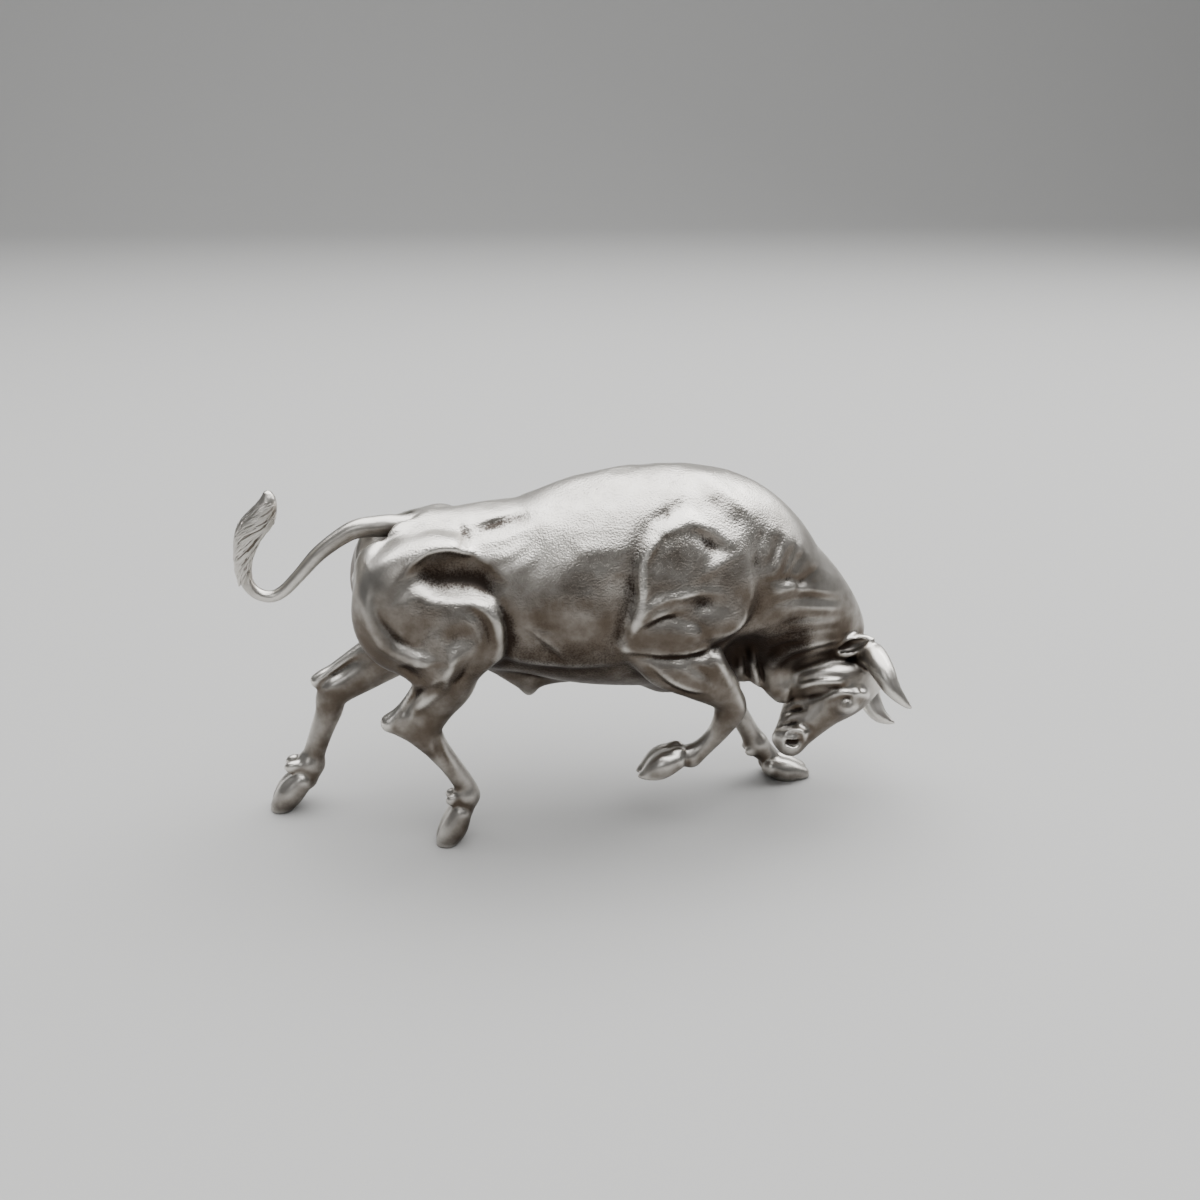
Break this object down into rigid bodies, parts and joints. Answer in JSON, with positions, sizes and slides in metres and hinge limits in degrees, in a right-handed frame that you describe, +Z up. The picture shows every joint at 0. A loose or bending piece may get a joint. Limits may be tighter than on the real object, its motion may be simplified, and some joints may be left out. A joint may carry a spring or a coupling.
{
  "type": "bull figurine",
  "caption": "Small solid cast-metal figurine of a charging bull, head low and turned, one foreleg lifted, tail curled up, standing on its feet.",
  "frame": {"origin": "centre of the overall box, on the plane that the feet stand on", "axes": "+Z up, +X from the tail towards the head, -Y the side with the lifted foreleg"},
  "size_m": [0.0736, 0.0196, 0.0409],
  "materials": {
    "white_metal": "cast silver-coloured white metal, hand polished to a satin sheen, with a dark patina left in the hollows"
  },
  "bodies": {
    "root": {"bull": "white_metal"}
  },
  "joints": []
}
